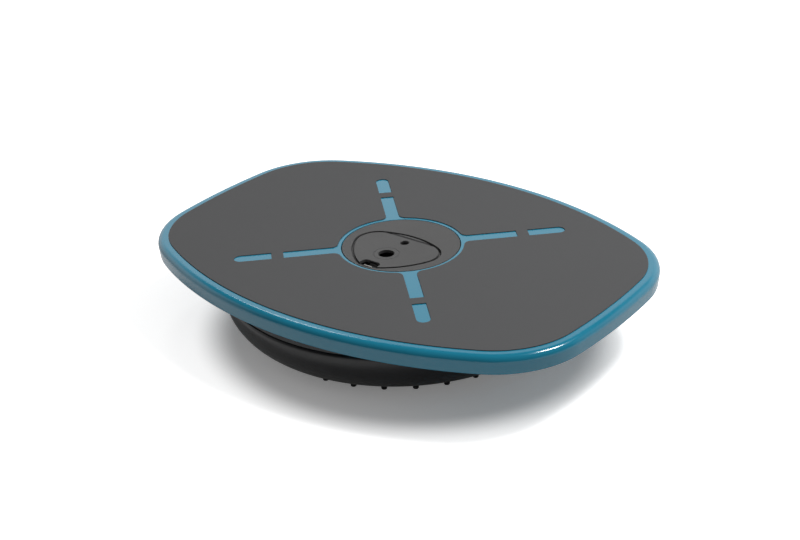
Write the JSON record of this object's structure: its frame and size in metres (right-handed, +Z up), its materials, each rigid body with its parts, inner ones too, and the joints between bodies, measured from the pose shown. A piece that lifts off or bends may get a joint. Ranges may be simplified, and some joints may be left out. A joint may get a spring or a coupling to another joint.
{
  "type": "balance board",
  "caption": "Standing balance board: deck with a ribbed frame and a foot mat on a round inflatable rubber cushion, with a valve hatch in its centre.",
  "frame": {"origin": "on the floor under the middle of the board, level with the bottoms of the cushion nubs", "axes": "+X along the board's long axis, +Y across it towards the hatch hinge, +Z up"},
  "size_m": [0.52, 0.386, 0.0852],
  "materials": {
    "deck_teal": "satin gloss",
    "mat_rubber": "fine matt",
    "hub_plastic": "matt",
    "catch_plastic": "satin",
    "collar_plastic": "matt",
    "cushion_rubber": "satin",
    "valve_plastic": "satin",
    "seal_rubber": "matt",
    "zinc_steel": "zinc plated",
    "spring_steel": "bright"
  },
  "bodies": {
    "cushion": {"cushion_bowl": "cushion_rubber"},
    "cushion_top": {"cushion_sheet": "cushion_rubber"},
    "deck": {"clamp_ring": "zinc_steel", "carrier_pan": "collar_plastic", "clamp_nut_1": "zinc_steel", "clamp_nut_2": "zinc_steel", "clamp_nut_3": "zinc_steel", "clamp_nut_4": "zinc_steel", "clamp_nut_5": "zinc_steel", "clamp_nut_6": "zinc_steel", "clamp_nut_7": "zinc_steel", "clamp_nut_8": "zinc_steel", "deck_frame": "collar_plastic", "deck_shell": "deck_teal", "foot_mat": "mat_rubber", "deck_screw_1": "zinc_steel", "deck_screw_2": "zinc_steel", "deck_screw_3": "zinc_steel", "deck_screw_4": "zinc_steel", "deck_screw_5": "zinc_steel", "deck_screw_6": "zinc_steel", "deck_screw_7": "zinc_steel", "deck_screw_8": "zinc_steel", "hub_housing": "hub_plastic", "hinge_leaf": "hub_plastic", "hinge_film": "seal_rubber", "hub_screw_1": "zinc_steel", "hub_screw_2": "zinc_steel", "hub_screw_3": "zinc_steel", "hub_screw_4": "zinc_steel", "valve_body": "valve_plastic", "valve_seal": "seal_rubber", "valve_nut": "valve_plastic", "bleed_body": "valve_plastic", "bleed_spring": "spring_steel"},
    "lid": {"hub_lid": "hub_plastic"},
    "catch": {"lid_catch": "catch_plastic"},
    "plug": {"valve_plug": "seal_rubber"},
    "bleed": {"bleed_button": "valve_plastic"}
  },
  "joints": [
    {"name": "deck_pitch", "type": "hinge", "parent": "cushion", "child": "cushion_top", "pos_m": [0, 0, 0.0294], "axis": [0, 1, 0], "range_deg": [-5, 5], "stiffness_Nm_per_rad": 80, "deforming": ["cushion_bowl"]},
    {"name": "deck_roll", "type": "hinge", "parent": "cushion_top", "child": "deck", "pos_m": [0, 0, 0.0294], "axis": [1, 0, 0], "range_deg": [-5, 5], "stiffness_Nm_per_rad": 80, "deforming": ["cushion_bowl", "cushion_sheet"]},
    {"name": "lid_hinge", "type": "hinge", "parent": "deck", "child": "lid", "pos_m": [0, 0.0162, 0.0838], "axis": [-1, 0, 0], "range_deg": [0, 105], "deforming": ["hinge_film"]},
    {"name": "catch_flex", "type": "hinge", "parent": "deck", "child": "catch", "pos_m": [0, -0.0548, 0.07195], "axis": [1, 0, 0], "range_deg": [0, 7], "stiffness_Nm_per_rad": 0.1},
    {"name": "plug_pull", "type": "slide", "parent": "deck", "child": "plug", "axis": [0, 0, 1], "range_m": [0, 0.014]},
    {"name": "bleed_press", "type": "slide", "parent": "deck", "child": "bleed", "axis": [0, 0, 1], "range_m": [-0.002, 0], "stiffness_N_per_m": 400, "deforming": ["bleed_spring"]}
  ]
}
